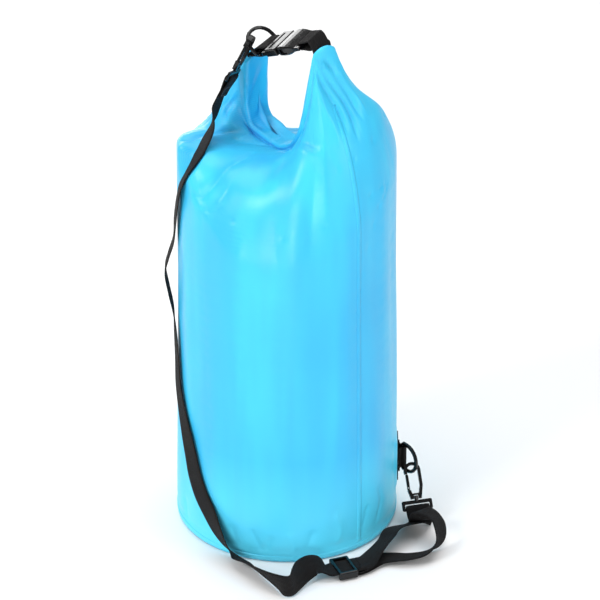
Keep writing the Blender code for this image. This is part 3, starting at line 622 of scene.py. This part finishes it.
def make_straps(look, thread):
    (run, run_sides), (loop, loop_sides) = strap_paths()
    line, sides = smooth_points(run, STEPS), smooth_points(run_sides, STEPS)
    strap = ribbon("shoulder_strap", line, sides, look)
    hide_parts("strap_long_run")
    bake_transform(strap)
    sewn = stitches("stitches_upper", line, sides, *UPPER_SEWN, thread)
    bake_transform(sewn)

    line, sides = smooth_points(loop, STEPS), smooth_points(loop_sides, STEPS)
    lower = ribbon("strap_end_loop", line, sides, look)
    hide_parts("strap_lower_loop")
    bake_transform(lower)
    start, end = (distances(line)[-1] - back for back in SLIDER_SEWN)
    sewn = stitches("stitches_slider", line, sides, start, end, thread)
    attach(sewn, "bag")


# ---------------------------------------------------------------- shape of the bag, before its folds

# inner face of the loop that the roll makes, from the left end to the right end (x, z)
LOOP_LINE = [(-0.0440, 0.5230), (-0.0455, 0.5000), (-0.0455, 0.4760), (-0.0430, 0.4600), (-0.0350, 0.4500),
             (-0.0200, 0.4455), (-0.0060, 0.4430), (0.0080, 0.4430), (0.0220, 0.4520), (0.0330, 0.4690),
             (0.0400, 0.4900), (0.0455, 0.5140), (0.0540, 0.5530), (0.0560, 0.5620)]
ROLL_THICKNESS = 0.0082
ROLL_HALF_WIDTH = 0.0147
LEFT_TIP, RIGHT_TIP = 0.0040, 0.0085   # how far the fabric's ends reach past the roll's
TIP_ROUND = 0.010                 # over which an end is rounded
# rows over the roll's edge and in to its inner face: distance from the inner line, and share of the width
ROLL_ROWS = [(ROLL_THICKNESS * 0.75, 1.09), (ROLL_THICKNESS * 0.30, 1.09), (-0.0006, 0.98)]
ROLL_ROWS += [(-0.0014, 0.88 - 0.13 * step) for step in range(7)]
COLUMNS = 400
WALL_ROWS = 110
TOP_ROWS = 75

# where the wall ends and the top begins, by angle
SHOULDER_HEIGHT = [(0, 0.384), (30, 0.408), (48, 0.424), (65, 0.416), (90, 0.400), (138, 0.376),
                   (180, 0.392), (205, 0.415), (218, 0.430), (232, 0.436), (250, 0.430), (268, 0.396),
                   (290, 0.358), (320, 0.352)]
# share of the roll's length, from its left end, at which the fabric of each side of the tube arrives
RIDGE_SHARE = [(0, 1.0), (30, 0.955), (50, 0.90), (70, 0.78), (90, 0.55), (135, 0.30), (160, 0.10),
               (180, 0.0), (200, 0.12), (210, 0.26), (218, 0.375), (236, 0.42), (255, 0.46), (275, 0.53),
               (300, 0.70), (320, 0.86), (340, 0.955)]
# heights of the fabric by the angle that it starts from, at shares of the way in from the shoulder
TOP_HEIGHTS = [
    (0.03, [(0, 0.4010), (30, 0.4260), (48, 0.4420), (65, 0.4340), (90, 0.4150), (138, 0.3870), (180, 0.4020),
            (205, 0.4260), (218, 0.4385), (232, 0.4430), (250, 0.4400), (268, 0.4070), (290, 0.3710),
            (320, 0.3680)]),
    (0.12, [(0, 0.4300), (30, 0.4520), (48, 0.4620), (65, 0.4540), (90, 0.4310), (138, 0.3980), (180, 0.4150),
            (205, 0.4310), (218, 0.4430), (232, 0.4470), (250, 0.4460), (268, 0.4240), (290, 0.3960),
            (320, 0.3970)]),
    (0.30, [(0, 0.4640), (30, 0.4820), (48, 0.4875), (65, 0.4740), (90, 0.4420), (138, 0.4080), (180, 0.4330),
            (205, 0.4400), (218, 0.4455), (245, 0.4480), (268, 0.4370), (290, 0.4220), (320, 0.4330)]),
    (0.68, [(0, 0.5120), (30, 0.5180), (48, 0.5150), (65, 0.4960), (90, 0.4450), (138, 0.4280), (180, 0.4720),
            (205, 0.4660), (218, 0.4450), (245, 0.4430), (268, 0.4410), (290, 0.4460), (320, 0.4780)]),
]


def cyclic(keys, turn):
    """Smooth value at an angle, in radians, between keys of (degrees, value) round the circle."""
    at = np.degrees(np.asarray(turn)) % 360
    angles = np.array([a for a, _ in keys] + [keys[0][0] + 360], float)
    values = np.array([v for _, v in keys] + [keys[0][1]], float)
    at = np.where(at < angles[0], at + 360, at)
    k = np.clip(np.searchsorted(angles, at, side="right") - 1, 0, len(keys) - 1)
    around = np.concatenate([[angles[-2] - 360], angles, [angles[1] + 360]])
    across = np.concatenate([[values[-2]], values, [values[1]]])
    slopes = (across[2:] - across[:-2]) / (around[2:] - around[:-2])
    gap = angles[k + 1] - angles[k]
    t = (at - angles[k]) / gap
    rise = ease(t)
    return (values[k] * (1 - rise) + values[k + 1] * rise
            + gap * (slopes[k] * t * (1 - t) ** 2 - slopes[k + 1] * t ** 2 * (1 - t)))


def loop_curve():
    """The loop's inner line as close points (x, z), and how far along it each is."""
    points = np.array(smooth_points([Vector(place) for place in LOOP_LINE], 12))
    return points, np.concatenate([[0], np.cumsum(np.linalg.norm(np.diff(points, axis=0), axis=1))])


LOOP_POINTS, LOOP_RUN = loop_curve()


def loop_at(run):
    """Place and way out of the hole at a distance along the loop, which runs on straight past its ends."""
    def at(distance):
        return np.array([np.interp(distance, LOOP_RUN, LOOP_POINTS[:, axis]) for axis in (0, 1)])

    step = 0.002
    middle = np.clip(run, step, LOOP_RUN[-1] - step)
    tangent = at(middle + step) - at(middle - step)
    tangent /= np.hypot(*tangent)
    past = run - np.clip(run, 0, LOOP_RUN[-1])
    return at(run) + past * tangent, np.array([tangent[1], -tangent[0]])


def wall_radius(height):
    """The wall swells over the welded hem and draws in a little towards the shoulder."""
    return np.interp(height, (0.0, 0.0015, 0.004, 0.0115, 0.0135, 0.02, 0.15, 0.30, 0.44),
                     (0.1160, 0.1174, 0.1180, 0.1180, 0.1174, 0.1180, 0.1168, 0.1146, 0.1140))


def bag_grid():
    """Rows of points from the base's edge up the wall, over the top and in to the roll's inner face."""
    turn = np.arange(COLUMNS) / COLUMNS * tau
    side = np.where(turn > pi, -1.0, 1.0)
    full = LOOP_RUN[-1]
    share = cyclic(RIDGE_SHARE, turn)
    run = -LEFT_TIP + (full + LEFT_TIP + RIGHT_TIP) * share
    from_end = np.minimum(run + LEFT_TIP, full + RIGHT_TIP - run)
    width = ROLL_HALF_WIDTH * np.sqrt(np.clip(1 - (1 - np.clip(from_end / TIP_ROUND, 0, 1)) ** 2, 0, 1))
    (x, z), (out_x, out_z) = loop_at(run)
    # the roll is thinner towards its right end and at the bottom of the loop
    thin = 1 - 0.75 * np.clip((share - 0.84) / 0.14, 0, 1)
    thin *= 1 - 0.55 * np.exp(-((share - 0.46) / 0.16) ** 2)

    def roll_row(distance, spread):
        off = distance * thin
        return np.stack([x + off * out_x, side * width * spread, z + off * out_z], axis=1)

    rows = []
    rise = cyclic(SHOULDER_HEIGHT, turn)
    for at in range(WALL_ROWS):
        height = rise * (at / (WALL_ROWS - 1)) ** 1.25
        radius = wall_radius(height)
        rows.append(np.stack([radius * np.cos(turn), radius * np.sin(turn), height], axis=1))
    low, high = rows[-1], roll_row(ROLL_THICKNESS + 0.0010, 1.05)
    keys = [(s, cyclic(heights, turn)) for s, heights in TOP_HEIGHTS]
    stations = [(0.0, rise), *keys, (1.0, high[:, 2])]
    first = (-0.002, rise - 0.020)
    beyond = (1.06, high[:, 2] + 0.25 * (high[:, 2] - keys[-1][1]))
    around = [first, *stations, beyond]
    stretches = len(stations) - 1
    for at in range(1, TOP_ROWS + 1):
        t = at / TOP_ROWS * stretches
        k = min(int(t), stretches - 1)
        s, level = (spline(*four, t - k) for four in zip(*around[k:k + 4]))
        place = low * (1 - s) + high * s
        place[:, 2] = level
        rows.append(place)
    rows += [roll_row(*row) for row in ROLL_ROWS]
    return np.array(rows)


# ---------------------------------------------------------------- folds and dents

# Folds of the fabric: the places along each, its spread and depth in metres, and its kind. A place is
# (angle, level), where level 0 is the base, 1 the shoulder and 2 the roll, or (x, y, z) on the face of the
# roll. A lap stands high on the left of its line.
FOLDS = [
    (((229, 1.18), (229, 1.44), (223, 1.59), (217, 1.72), (213, 1.95)), 0.0050, 0.0070, "valley"),
    (((226, 1.36), (220, 1.60), (212, 1.80), (208, 1.97)), 0.0060, 0.0030, "ridge"),
    (((204, 1.99), (208, 1.86), (215, 1.74)), 0.0030, 0.0050, "valley"),
    (((210, 1.98), (218, 1.86), (227, 1.78)), 0.0034, 0.0040, "ridge"),
    (((199, 1.98), (202, 1.78), (207, 1.58), (212, 1.44)), 0.0045, 0.0048, "valley"),
    (((188, 1.98), (192, 1.78), (198, 1.55), (204, 1.35)), 0.0050, 0.0036, "ridge"),
    (((258, 0.96), (264, 1.12), (268, 1.36), (268, 1.55), (262, 1.74), (255, 1.86)),
     0.0060, 0.0050, "valley"),
    (((263, 0.94), (270, 1.10), (275, 1.32), (276, 1.52), (272, 1.70)), 0.0060, 0.0030, "ridge"),
    (((265, 0.97), (272, 1.18), (278, 1.40)), 0.0045, 0.0026, "valley"),
    (((250, 1.05), (252, 1.40), (250, 1.70)), 0.0080, 0.0016, "ridge"),
    (((309, 1.84), (315, 1.80), (322, 1.77), (332, 1.73), (341, 1.71)), 0.0050, 0.0056, "lap"),
    (((294, 1.99), (300, 1.93), (306, 1.84)), 0.0040, 0.0056, "valley"),
    (((270, 1.98), (282, 1.95), (292, 1.90)), 0.0036, 0.0040, "valley"),
    (((346, 1.97), (351, 1.89), (356, 1.84), (1, 1.76), (3, 1.66)), 0.0042, 0.0060, "valley"),
    (((343, 1.97), (347, 1.89), (350, 1.82), (354, 1.74), (356, 1.64)), 0.0050, 0.0030, "ridge"),
    (((351, 1.96), (358, 1.88), (7, 1.80), (10, 1.72), (7, 1.60)), 0.0036, 0.0050, "valley"),
    (((356, 1.96), (6, 1.88), (16, 1.79), (18, 1.66)), 0.0046, 0.0044, "valley"),
    (((2, 1.96), (13, 1.87), (24, 1.77), (27, 1.62)), 0.0060, 0.0030, "ridge"),
    (((341, 1.99), (353, 1.95), (3, 1.91), (13, 1.88)), 0.0045, 0.0046, "lap"),
    (((347, 1.88), (345, 1.76), (341, 1.58), (339, 1.10)), 0.0080, 0.0024, "ridge"),
    (((333, 1.94), (334, 1.70), (331, 1.40), (329, 0.90)), 0.0090, 0.0020, "valley"),
    (((6, 1.70), (2, 1.56), (357.4, 1.27), (357.4, 0.80), (357.4, 0.20)), 0.0022, 0.0014, "valley"),
    (((349, 1.40), (350, 1.00), (351, 0.70), (351, 0.40)), 0.0100, 0.0016, "ridge"),
    (((292, 1.40), (293, 0.95), (291, 0.50)), 0.0150, 0.0020, "ridge"),
    (((306, 1.60), (312, 1.20), (314, 0.80), (312, 0.40)), 0.0130, 0.0018, "valley"),
    (((320, 1.50), (322, 1.00), (322, 0.50)), 0.0120, 0.0012, "ridge"),
    (((268, 0.90), (272, 0.60), (276, 0.30)), 0.0130, 0.0016, "valley"),
    (((20, 1.30), (18, 0.90), (20, 0.50)), 0.0140, 0.0014, "ridge"),
    (((32, 1.50), (34, 1.10), (32, 0.60)), 0.0110, 0.0014, "valley"),
    (((299, 0.18), (303, 0.11), (306, 0.06)), 0.0035, 0.0022, "valley"),
    (((310, 0.15), (307, 0.07)), 0.0030, 0.0018, "valley"),
    (((318, 0.17), (322, 0.10), (321, 0.06)), 0.0035, 0.0016, "ridge"),
    (((288, 0.17), (292, 0.07)), 0.0035, 0.0018, "valley"),
    (((332, 0.17), (328, 0.07)), 0.0035, 0.0018, "valley"),
    (((343, 0.22), (347, 0.14), (344, 0.07)), 0.0040, 0.0018, "ridge"),
    (((5, 0.20), (0, 0.07)), 0.0035, 0.0020, "valley"),
    (((12, 0.24), (16, 0.17), (10, 0.08)), 0.0040, 0.0020, "valley"),
    (((40, 0.18), (44, 0.07)), 0.0040, 0.0018, "valley"),
    (((100, 0.18), (97, 0.06)), 0.0040, 0.0018, "valley"),
    (((150, 0.16), (153, 0.06)), 0.0040, 0.0018, "valley"),
    (((210, 0.18), (206, 0.06)), 0.0040, 0.0018, "valley"),
    (((250, 0.15), (253, 0.06)), 0.0035, 0.0016, "valley"),
    (((58, 1.97), (68, 1.80), (75, 1.50), (74, 1.10)), 0.0050, 0.0036, "valley"),
    (((76, 1.98), (86, 1.70), (90, 1.30)), 0.0060, 0.0040, "valley"),
    (((130, 1.98), (122, 1.70), (112, 1.30)), 0.0060, 0.0042, "valley"),
    (((150, 1.97), (143, 1.70), (138, 1.30)), 0.0055, 0.0040, "valley"),
    (((168, 1.97), (165, 1.70), (160, 1.20)), 0.0055, 0.0044, "valley"),
    (((180, 1.60), (180, 1.20), (180, 0.80)), 0.0030, 0.0014, "valley"),
    (((-0.045, 0.009, 0.512), (-0.046, 0.000, 0.492), (-0.046, -0.008, 0.476), (-0.046, -0.014, 0.462)),
     0.0030, 0.0040, "valley"),
    (((-0.046, 0.013, 0.496), (-0.046, 0.007, 0.478), (-0.045, -0.003, 0.464), (-0.043, -0.013, 0.456)),
     0.0034, 0.0030, "ridge"),
    (((-0.046, -0.001, 0.518), (-0.046, -0.007, 0.501), (-0.046, -0.013, 0.488)), 0.0030, 0.0028, "ridge"),
    (((-0.039, -0.018, 0.453), (-0.041, -0.006, 0.454), (-0.040, 0.001, 0.453)), 0.0026, 0.0040, "valley"),
    (((-0.041, -0.004, 0.454), (-0.036, 0.001, 0.450), (-0.028, 0.001, 0.447)), 0.0026, 0.0036, "ridge"),
    (((-0.040, -0.012, 0.453), (-0.032, -0.008, 0.448), (-0.022, -0.004, 0.446)), 0.0026, 0.0034, "valley"),
    (((-0.037, 0.012, 0.451), (-0.029, 0.012, 0.448), (-0.018, 0.011, 0.445)), 0.0050, 0.0012, "ridge"),
    (((0.046, 0.006, 0.517), (0.041, 0.002, 0.494), (0.034, -0.004, 0.471), (0.024, -0.010, 0.454)),
     0.0034, 0.0030, "valley"),
]
FOLD_STEPS = 12                   # points to each stretch of a fold's line
FOLD_EXTENT = 6                   # a fold is felt this many times its spread away
FOLD_FADE = 0.30                  # share of its length over which each end fades
LAP_END = 0.12                    # share of its depth that a lap keeps at its ends
LAP_EDGE = 0.0024                 # width of a lap's edge

STRAP_LIES = slice(9 * STEPS, 20 * STEPS)       # the part of the shoulder strap that lies on the bag
STRAP_SINK = 0.0019
BAG_MIDDLE = np.array((0, 0, 0.36))
PATCH_BACK = BASE_RADIUS + 0.0003               # the back face of the lower patch, from the axis
PATCH_LOW, PATCH_HIGH = (corner[2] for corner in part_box("lower_patch"))


def grid_place(rows, angle, level):
    """The point of the grid at an angle in degrees and a level."""
    row = level * (WALL_ROWS - 1) if level <= 1 else WALL_ROWS - 1 + (level - 1) * TOP_ROWS
    column = angle / 360 * COLUMNS
    r, c = min(int(row), len(rows) - 2), int(column // 1)
    s, t = row - r, column - c
    low = rows[r, c % COLUMNS] * (1 - t) + rows[r, (c + 1) % COLUMNS] * t
    high = rows[r + 1, c % COLUMNS] * (1 - t) + rows[r + 1, (c + 1) % COLUMNS] * t
    return low * (1 - s) + high * s


def outward(rows, closed=True):
    """Unit normals of the grid, away from the bag's inside; a closed grid's last column meets its first."""
    along = np.roll(rows, -1, axis=1) - np.roll(rows, 1, axis=1) if closed else np.gradient(rows, axis=1)
    normal = np.cross(along, np.gradient(rows, axis=0))
    return normal / np.maximum(np.linalg.norm(normal, axis=2, keepdims=True), 1e-9)


def near(points, line, reach):
    """Which points lie in the line's box, grown by reach."""
    low, high = line.min(axis=0) - reach, line.max(axis=0) + reach
    return np.flatnonzero(((points > low) & (points < high)).all(axis=1))


def nearest(points, line):
    """For each point: the nearest of the line's points, the way from it, and how far that is."""
    gaps = np.linalg.norm(points[:, None, :] - line[None, :, :], axis=2)
    at = gaps.argmin(axis=1)
    return at, points - line[at], gaps.min(axis=1)


def fold_line(rows, places):
    """The close points of a fold, in metres."""
    if len(places[0]) == 3:
        return np.array(smooth_points([Vector(place) for place in places], FOLD_STEPS))
    steps = []
    for angle, level in places:
        if steps and angle - steps[-1].x < -180:
            angle += 360
        steps.append(Vector((angle, level)))
    return np.array([grid_place(rows, step.x, step.y) for step in smooth_points(steps, FOLD_STEPS)])


def press_folds(rows):
    """Creases, ridges and laps, pressed into the fabric along its normals."""
    flat, up = rows.reshape(-1, 3), outward(rows).reshape(-1, 3)
    moved = np.zeros(len(flat))
    for places, spread, depth, kind in FOLDS:
        line = fold_line(rows, places)
        close = near(flat, line, FOLD_EXTENT * spread)
        at, way, gap = nearest(flat[close], line)
        share = at / (len(line) - 1)
        fade = ease(np.minimum(share, 1 - share) / FOLD_FADE) + LAP_END * (kind == "lap")
        if kind == "lap":
            tangent = np.gradient(line, axis=0)[at]
            across = (np.cross(tangent, up[close]) * way).sum(axis=1)
            across /= np.maximum(np.linalg.norm(tangent, axis=1), 1e-9)
            profile = np.exp(-gap / (spread * 1.8)) * np.tanh(across / LAP_EDGE) * 0.6
        else:
            rounded = np.sqrt(gap ** 2 + (0.12 * spread) ** 2)
            profile = np.exp(-rounded / spread) * (1 if kind == "ridge" else -1)
        moved[close] += depth * fade * profile
    return rows + (up * moved[:, None]).reshape(rows.shape)


def soften(rows):
    """Slow waves of the half-filled tube, which fade out at its base and near the roll."""
    turn = np.arange(COLUMNS) / COLUMNS * tau
    height = rows[..., 2]
    wave = (0.00075 * np.sin(5 * turn + 7 * height + 0.7) + 0.00050 * np.sin(11 * turn - 9 * height)
            + 0.00030 * np.sin(19 * turn + 15 * height + 2.1))
    calm = np.clip(height / 0.05, 0, 1) * np.clip((0.50 - height) / 0.08, 0, 1)
    return rows + outward(rows) * (wave * calm)[..., None]


def press_strap(rows):
    """The shoulder strap lies on the fabric and sinks into it."""
    (run, run_sides), _ = strap_paths()
    line = np.array(smooth_points(run, STEPS))[STRAP_LIES]
    sides = np.array(smooth_points(run_sides, STEPS))[STRAP_LIES]
    along = np.gradient(line, axis=0)
    along /= np.linalg.norm(along, axis=1, keepdims=True)
    sides -= (sides * along).sum(axis=1, keepdims=True) * along
    sides /= np.linalg.norm(sides, axis=1, keepdims=True)
    up = np.cross(along, sides)
    up *= np.sign((up * (line - BAG_MIDDLE)).sum(axis=1, keepdims=True))
    flat = rows.reshape(-1, 3).copy()
    close = near(flat, line, 0.04)
    at, way, gap = nearest(flat[close], line)
    height = (way * up[at]).sum(axis=1)
    aside = np.abs((way * sides[at]).sum(axis=1))
    past = np.abs((way * along[at]).sum(axis=1))
    reach = ease(np.clip((0.0240 - aside) / 0.0100, 0, 1) * np.clip((0.012 - past) / 0.008, 0, 1))
    sink = np.clip(height + STRAP_SINK, 0, 0.022) * reach * (gap < 0.035)
    flat[close] -= up[at] * sink[:, None]
    return flat.reshape(rows.shape)


def meet_patch(rows):
    """The tube flattens against the back of the lower patch, which is welded to it."""
    out = np.array(turned(1, 0, 0))
    aside = np.abs(rows @ np.array(turned(0, 1, 0)))
    away = rows @ out
    height = rows[..., 2]
    share = np.clip((0.026 - aside) / 0.010, 0, 1) * (away > 0)
    share = share * np.clip((height - PATCH_LOW + 0.014) / 0.012, 0, 1)
    share = share * np.clip((PATCH_HIGH + 0.014 - height) / 0.012, 0, 1)
    return rows + ((PATCH_BACK - away) * ease(share))[..., None] * out


# ---------------------------------------------------------------- fabric pieces

HEM_LIFT, HEM_THICKNESS = 0.0004, 0.0006
TAPE_LIFT, TAPE_THICKNESS = 0.00025, 0.0005
TAPES = {"right": 0, "left": COLUMNS // 2}      # the column that each side's seam tape follows
TAPE_TOP = WALL_ROWS + 60


def strip(name, rows, look, lift, depth, closed):
    """A thin strip of cloth lying on a part of the grid."""
    height, count = rows.shape[:2]
    normals = outward(rows, closed)
    top = (rows + normals * lift).reshape(-1, 3)
    under = (rows + normals * (lift - depth)).reshape(-1, 3)
    faces = grid_faces(count, height, closed)
    size = len(top)
    faces += [tuple(size + corner for corner in reversed(face)) for face in faces]
    around = count if closed else count - 1
    edges = [(c, (c + 1) % count) for c in range(around)]
    edges += [((height - 1) * count + (c + 1) % count, (height - 1) * count + c) for c in range(around)]
    if not closed:
        edges += [((r + 1) * count, r * count) for r in range(height - 1)]
        edges += [((r + 1) * count - 1, (r + 2) * count - 1) for r in range(height - 1)]
    faces += [(a, size + a, size + b, b) for a, b in edges]
    uv = [(c * 0.00185, r * 0.004) for r in range(height) for c in range(count)] * 2
    made = mesh_object(name, np.concatenate([top, under]), faces, look, uv)
    face_out(made)
    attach(made, "bag")
    return made


def inner_seam(top):
    """Faces that join the two halves of the last row along the middle of the roll's inner face."""
    faces = []
    for at in range(COLUMNS // 2):
        corners = (at, at + 1, COLUMNS - at - 1, (COLUMNS - at) % COLUMNS)
        face = tuple(dict.fromkeys(top + corner for corner in corners))
        if len(face) > 2:
            faces.append(face)
    return faces


def make_bag(look):
    rows = meet_patch(press_strap(soften(press_folds(bag_grid()))))
    height = len(rows)
    faces = grid_faces(COLUMNS, height) + inner_seam((height - 1) * COLUMNS)
    run = np.concatenate([[0], np.cumsum(np.linalg.norm(np.diff(rows[:, 0], axis=0), axis=1))])
    uv = [(at / COLUMNS * tau * BASE_RADIUS, run[row]) for row in range(height) for at in range(COLUMNS)]
    bag = mesh_object("bag_fabric", rows.reshape(-1, 3), faces, look, uv)
    face_out(bag)
    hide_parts("bag_tube", "left_gusset", "right_gusset",
                "roll_left_inner", "roll_left_outer", "roll_right_inner", "roll_right_outer",
                "stiffener_left", "stiffener_right")
    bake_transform(bag)

    level = rows[:WALL_ROWS, 0, 2]
    hem_rows = rows[:WALL_ROWS][(level > HEM_BOTTOM) & (level < HEM_TOP)]
    hem = strip("base_hem", hem_rows, look, HEM_LIFT, HEM_THICKNESS, closed=True)
    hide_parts("base_weld_band")
    for side, column in TAPES.items():
        columns = [(column + off) % COLUMNS for off in (-3, -2, -1, 0)]
        under = rows[len(hem_rows) + 2:TAPE_TOP][:, columns]
        tape = strip("seam_tape_" + side, under, look, TAPE_LIFT, TAPE_THICKNESS, closed=False)
        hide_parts("side_seam_" + side)


# ---------------------------------------------------------------- build

def paint_hardware(webbing):
    """Looks for the CAD's own visible pieces; the base keeps the one that it comes with."""
    plastic = plastic_look("moulded_plastic")
    steel = steel_look("pin_steel")
    for name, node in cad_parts.items():
        if "pin" in name:
            node.data.materials[0] = steel
        elif "strap" in name and name != "strap_slider" or name in ("lower_patch", "lower_tab"):
            node.data.materials[0] = webbing
        elif not node.hide_render and "base" not in name:
            node.data.materials[0] = plastic


set_camera()
set_floor()
set_light()
make_straps(webbing_look("webbing"), thread_look("webbing_thread"))
make_bag(fabric_look("coated_fabric"))
paint_hardware(webbing_look("sewn_webbing", mapped=False))
